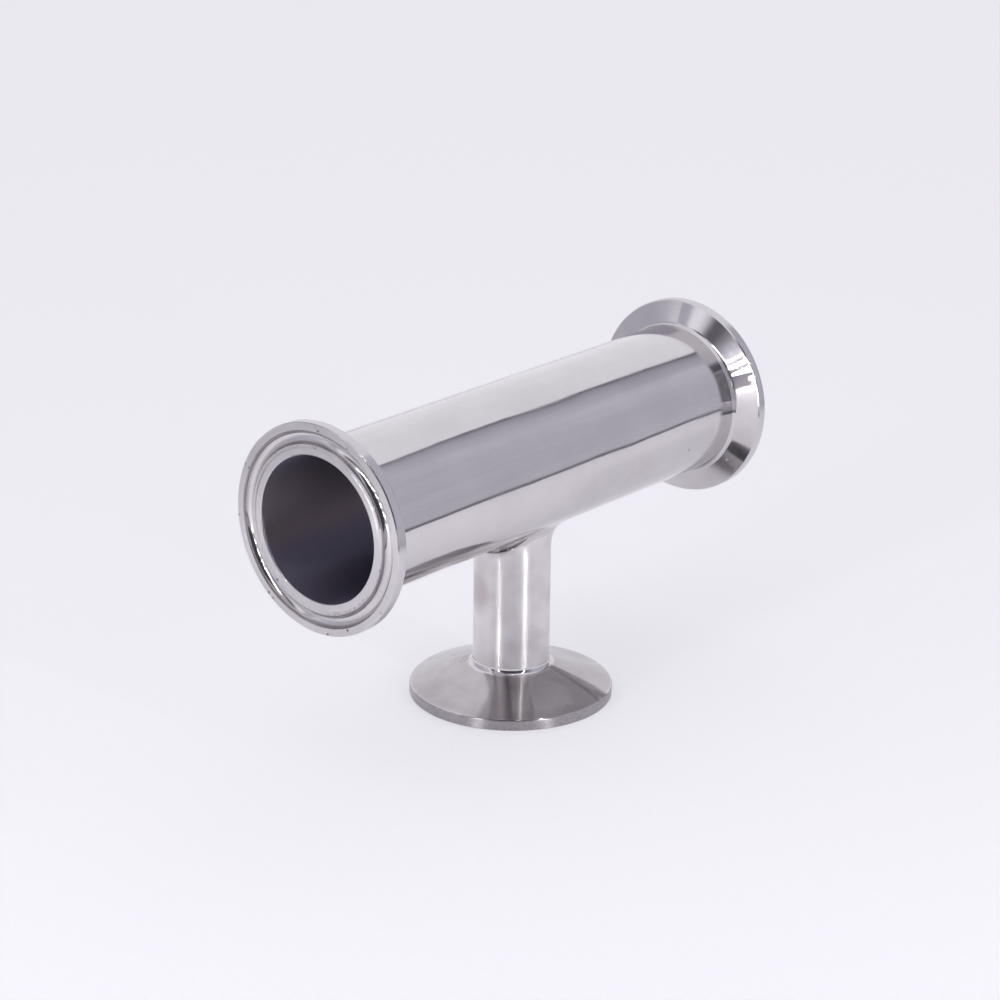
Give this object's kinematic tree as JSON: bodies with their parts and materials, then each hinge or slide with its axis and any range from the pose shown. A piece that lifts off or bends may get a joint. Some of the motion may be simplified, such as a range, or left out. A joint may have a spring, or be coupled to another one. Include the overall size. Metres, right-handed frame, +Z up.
{
  "type": "sanitary clamp tee",
  "caption": "Polished steel tee with a wide run tube, a thinner branch tube and a clamp flange with a gasket groove on each end.",
  "frame": {"origin": "centre of the branch ferrule's sealing face, which is the face the tee stands on", "axes": "+Z up the branch's axis to the run; +X along the run, from the front ferrule to the rear one"},
  "size_m": [0.1386, 0.0506, 0.0868],
  "materials": {
    "polished_steel": "mirror polished stainless steel",
    "satin_steel": "satin stainless steel, fine brushed",
    "machined_steel": "turned and polished stainless steel"
  },
  "bodies": {
    "root": {"run_tube": "polished_steel", "branch_tube": "satin_steel", "front_ferrule": "machined_steel", "rear_ferrule": "machined_steel", "branch_ferrule": "machined_steel"}
  },
  "joints": []
}
